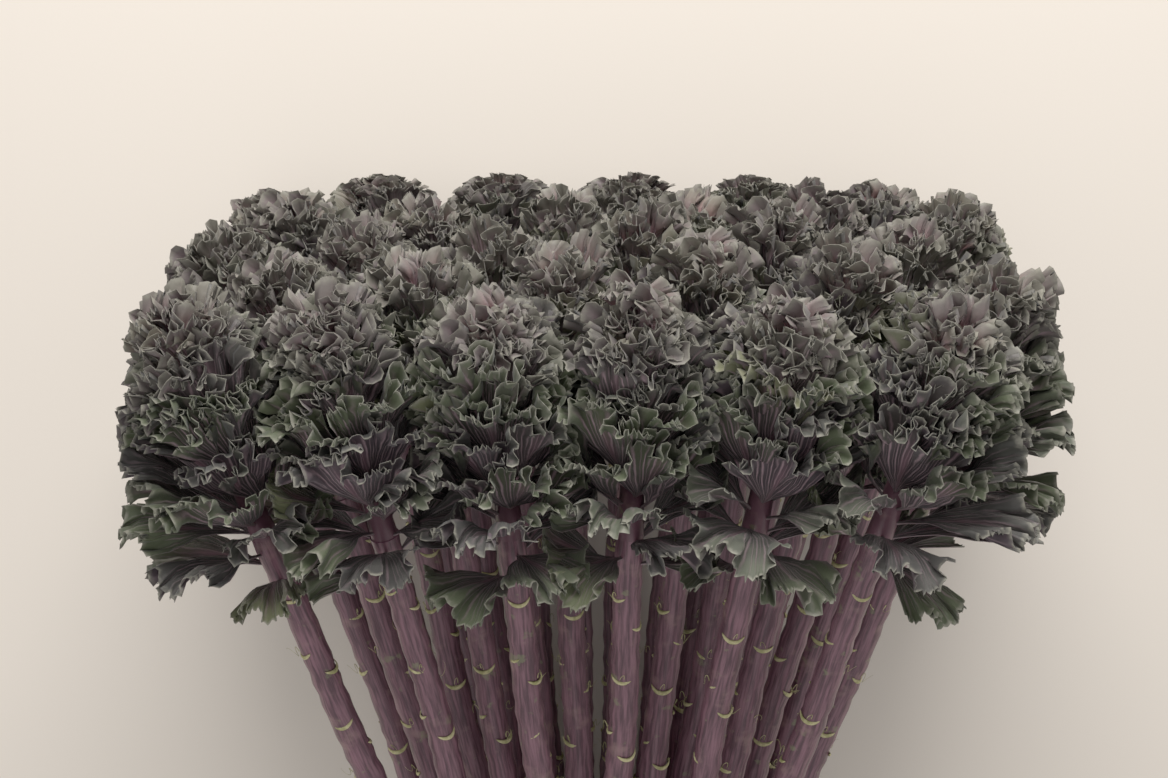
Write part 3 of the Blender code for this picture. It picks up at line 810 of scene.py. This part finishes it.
def leafFinish():
    look = leafColours
    finish = Finish("kaleLeaf", 0.56, 0.35)
    finish.shader.inputs["Sheen Weight"].default_value = 0.10
    fan = finish.add("ShaderNodeUVMap", {"uv_map": "leafFan"})
    split = finish.tree.nodes.new("ShaderNodeSeparateXYZ")
    finish.plug(fan, split.inputs[0])
    across, along = split.outputs[0], split.outputs[1]
    outside = finish.attribute("outside")
    share = finish.attribute("leafShare")
    tint = finish.attribute("leafTint")
    blotch = finish.noise(34, 4)
    fine = finish.noise(240, 3)
    # Veins run up the fan; between them finer ones start half way.
    wander = finish.math("SUBTRACT", finish.noise(60, 2), 0.5)
    wander = finish.math("MULTIPLY", wander, look["veinWander"])
    place = finish.math("ADD", across, wander)

    def veins(count, strength):
        cell = finish.math("FRACT", finish.math("ADD", finish.math("MULTIPLY", place, count), 0.5))
        apart = finish.math("DIVIDE", finish.math("ABSOLUTE", finish.math("SUBTRACT", cell, 0.5)), count)
        width = finish.math("DIVIDE", look["veinWidth"] * strength, finish.math("ADD", along, 0.12))
        return finish.math("SUBTRACT", 1, finish.math("DIVIDE", apart, width), clamp=True)

    large = veins(look["veins"], 1.0)
    small = finish.math("MULTIPLY", veins(look["veins"] * 2, 0.6), finish.ramp(along, 0.35, 0.6))
    middle = finish.math("ABSOLUTE", finish.math("SUBTRACT", across, 0.5))
    ribWidth = finish.math("ADD", finish.math("MULTIPLY", finish.math("SUBTRACT", 1, along), 0.16), 0.012)
    rib = finish.math("SUBTRACT", 1, finish.math("DIVIDE", middle, ribWidth), clamp=True)
    rib = finish.math("MULTIPLY", rib, finish.ramp(along, 1.0, 0.35))
    veined = finish.math("MAXIMUM", large, finish.math("MULTIPLY", small, 0.6))
    fade = finish.ramp(along, 1.02, 0.72)
    veined = finish.math("MULTIPLY", finish.math("MULTIPLY", veined, 1.3), fade, clamp=True)

    outer = finish.mixed(finish.ramp(blotch, 0.35, 0.7), look["outerDark"], look["outer"])
    inner = finish.mixed(finish.ramp(blotch, 0.35, 0.7), look["innerDark"], look["inner"])
    body = finish.mixed(outside, inner, outer)
    # Outer parts of some leaves are greener, and an odd leaf is yellow green.
    tinted = finish.math("ADD", tint, finish.math("MULTIPLY", blotch, 0.5))
    greenShare = finish.math("MULTIPLY", finish.ramp(along, 0.35, 0.95), finish.ramp(tinted, 0.45, 1.05))
    body = finish.mixed(greenShare, body, look["green"])
    odd = finish.math("MULTIPLY", finish.ramp(tint, 0.94, 0.98), finish.ramp(along, 0.25, 0.8))
    body = finish.mixed(finish.math("MULTIPLY", odd, 0.45), body, look["yellowGreen"])
    # The upper leaves are painted paler towards the heart: painted light for the evenly lit tops of the
    # heads.
    body = finish.mixed(finish.math("MULTIPLY", finish.ramp(share, 0.45, 0.85), 0.6), body, look["upper"])
    # The heart is wine red, but for its margins.
    heart = finish.math("MULTIPLY", finish.ramp(share, 0.66, 0.96), finish.ramp(along, 1.02, 0.70))
    wine = finish.mixed(finish.ramp(blotch, 0.3, 0.7), look["wineDark"], look["wine"])
    body = finish.mixed(finish.math("MULTIPLY", heart, 0.85), body, wine)
    veinShare = finish.math("ADD", finish.math("MULTIPLY", outside, 0.5), 0.35)
    body = finish.mixed(finish.math("MULTIPLY", veined, veinShare), body, look["vein"])
    body = finish.mixed(finish.math("MULTIPLY", rib, 0.7), body, look["rib"])
    rim = finish.ramp(finish.math("ADD", along, finish.math("MULTIPLY", fine, 0.05)), 0.98, 1.03)
    patches = finish.math("ADD", finish.ramp(finish.noise(150, 2), 0.35, 0.65), 0.3)
    rim = finish.math("MULTIPLY", rim, patches, clamp=True)
    body = finish.mixed(finish.math("MULTIPLY", rim, 0.8), body, look["margin"])
    finish.colour(body)
    rough = finish.math("ADD", finish.math("MULTIPLY", blotch, 0.22), 0.42)
    finish.plug(rough, finish.shader.inputs["Roughness"])
    side = finish.math("SUBTRACT", finish.math("MULTIPLY", outside, 2), 1)
    ridges = finish.math("MULTIPLY", finish.math("MAXIMUM", veined, rib), side)
    first = finish.bump(ridges, 0.0009, 0.8)
    finish.normal(finish.bump(finish.math("ADD", fine, finish.noise(110, 2)), 0.0006, 0.5, first))
    return finish.material


stemColours = {
    "dark": colour(72, 45, 56), "light": colour(126, 87, 101),
    "worn": colour(148, 118, 116), "green": colour(120, 128, 92),
    "scarDark": colour(150, 148, 96), "scarLight": colour(206, 198, 150),
    "cutSkin": colour(120, 70, 96), "cutFlesh": colour(206, 208, 170), "pith": colour(228, 224, 198),
}


def stemFinish():
    look = stemColours
    finish = Finish("kaleStem", 0.42, 0.45)
    along, around = finish.attribute("along"), finish.attribute("around")
    streakPlace = finish.add("ShaderNodeCombineXYZ", X=finish.math("MULTIPLY", around, 26),
                             Y=finish.math("MULTIPLY", along, 30), Z=0.0)
    streaks = finish.noise(1.0, 4, streakPlace)
    blotch = finish.noise(55, 4)
    body = finish.mixed(finish.ramp(streaks, 0.35, 0.68), look["dark"], look["light"])
    body = finish.mixed(finish.math("MULTIPLY", finish.ramp(blotch, 0.55, 0.75), 0.5), body, look["worn"])
    mossy = finish.math("MULTIPLY", finish.ramp(finish.noise(90, 3), 0.62, 0.72), 0.5)
    body = finish.mixed(mossy, body, look["green"])
    finish.colour(body)
    finish.normal(finish.bump(finish.math("ADD", streaks, finish.noise(300, 2)), 0.0005, 0.5))
    return finish.material


def scarMaterial():
    finish = Finish("leafScar", 0.6, 0.3)
    blotch = finish.noise(220, 3)
    pale = finish.ramp(blotch, 0.3, 0.7)
    finish.colour(finish.mixed(pale, stemColours["scarDark"], stemColours["scarLight"]))
    finish.normal(finish.bump(blotch, 0.0004, 0.6))
    return finish.material


def cutMaterial():
    look = stemColours
    finish = Finish("stemCut", 0.7, 0.3)
    pith = finish.attribute("pith")
    uneven = finish.math("ADD", pith, finish.math("MULTIPLY", finish.noise(400, 3), 0.1))
    flesh = finish.mixed(finish.ramp(uneven, 0.12, 0.3), look["cutSkin"], look["cutFlesh"])
    finish.colour(finish.mixed(finish.ramp(pith, 0.45, 0.75), flesh, look["pith"]))
    finish.normal(finish.bump(finish.noise(500, 3), 0.0004, 0.6))
    return finish.material


# The camera stands where the photograph's did, counted from the middle of the collars.
shot = {
    "lens": 66.0, "across": -0.011, "above": 0.480, "towards": 1.450,
    "pitch": 16.35,            # down from square to the stems, degrees
}
light = {
    "target": (0.0, 0.15, 0.2),
    "keyPower": 52, "keySize": 1.6, "keyPlace": (0.05, 1.85, 1.25), "keyTone": (1.0, 0.968, 0.93),
    "fillPower": 6, "fillSize": 2.2, "fillPlace": (-0.5, -0.7, 2.3), "fillTone": (1.0, 0.98, 0.95),
    "sky": 0.42, "skyTone": (1.0, 0.975, 0.95, 1.0),
    "gamma": 1.28,
}
floorLook = {
    "half": 6.0, "tone": colour(227, 219, 209), "toneDark": colour(222, 213, 202),
}


def areaLight(name, kind):
    lamp = bpy.data.lights.new(name, "AREA")
    lamp.energy = light[kind + "Power"]
    lamp.size = light[kind + "Size"]
    lamp.color = light[kind + "Tone"]
    item = bpy.data.objects.new(name, lamp)
    item.location = light[kind + "Place"]
    aim = Vector(light["target"]) - Vector(light[kind + "Place"])
    item.rotation_euler = aim.to_track_quat("-Z", "Y").to_euler()
    bpy.context.scene.collection.objects.link(item)


def makeFloor():
    finish = Finish("floorPale", 0.9, 0.2)
    finish.colour(finish.mixed(finish.noise(1.2, 2), floorLook["tone"], floorLook["toneDark"]))
    finish.normal(finish.bump(finish.noise(300, 2), 0.0002, 0.2))
    mesh = bpy.data.meshes.new("floor")
    half = floorLook["half"]
    corners = [(-half, -half, 0), (half, -half, 0), (half, half, 0), (-half, half, 0)]
    mesh.from_pydata(corners, [], [(0, 1, 2, 3)])
    mesh.materials.append(finish.material)
    floor = bpy.data.objects.new("floor", mesh)
    bpy.context.scene.collection.objects.link(floor)


def makeLights():
    areaLight("keyLight", "key")
    areaLight("fillLight", "fill")
    world = bpy.data.worlds.new("studio")
    world.use_nodes = True
    sky = world.node_tree.nodes["Background"]
    sky.inputs["Color"].default_value = light["skyTone"]
    sky.inputs["Strength"].default_value = light["sky"]
    bpy.context.scene.world = world
    bpy.context.scene.view_settings.view_transform = "Standard"
    bpy.context.scene.view_settings.gamma = light["gamma"]


def makeCamera():
    collarCentre = focus + bunchUp * np.mean([(plant["collar"] - focus) @ bunchUp for plant in plants])
    place = collarCentre + np.array([shot["across"], 0, 0])
    place = place + bunchUp * shot["above"] + towardsViewer * shot["towards"]
    pitch = math.radians(shot["pitch"])
    view = -towardsViewer * math.cos(pitch) - bunchUp * math.sin(pitch)
    up = -towardsViewer * math.sin(pitch) + bunchUp * math.cos(pitch)
    camera = bpy.data.cameras.new("camera")
    camera.lens = shot["lens"]
    camera.clip_start = 0.05
    item = bpy.data.objects.new("camera", camera)
    right = np.cross(view, up)
    turn = Matrix((right, up, -view)).transposed()
    item.matrix_world = Matrix.Translation(Vector(place)) @ turn.to_4x4()
    bpy.context.scene.collection.objects.link(item)
    bpy.context.scene.camera = item


def countTriangles(pieces):
    return sum(len(face.vertices) - 2 for piece in pieces for face in piece.data.polygons)


makeFloor()
makeLights()
makeCamera()
print("floor, lights and camera ready")
skin = stemFinish()
heads = makeHeads(leafFinish(), skin)
print("heads ready:", len(heads), "with", countTriangles(heads), "triangles")
stems = makeStems(skin, scarMaterial(), cutMaterial())
print("stems ready:", len(stems), "with", countTriangles(stems), "triangles")
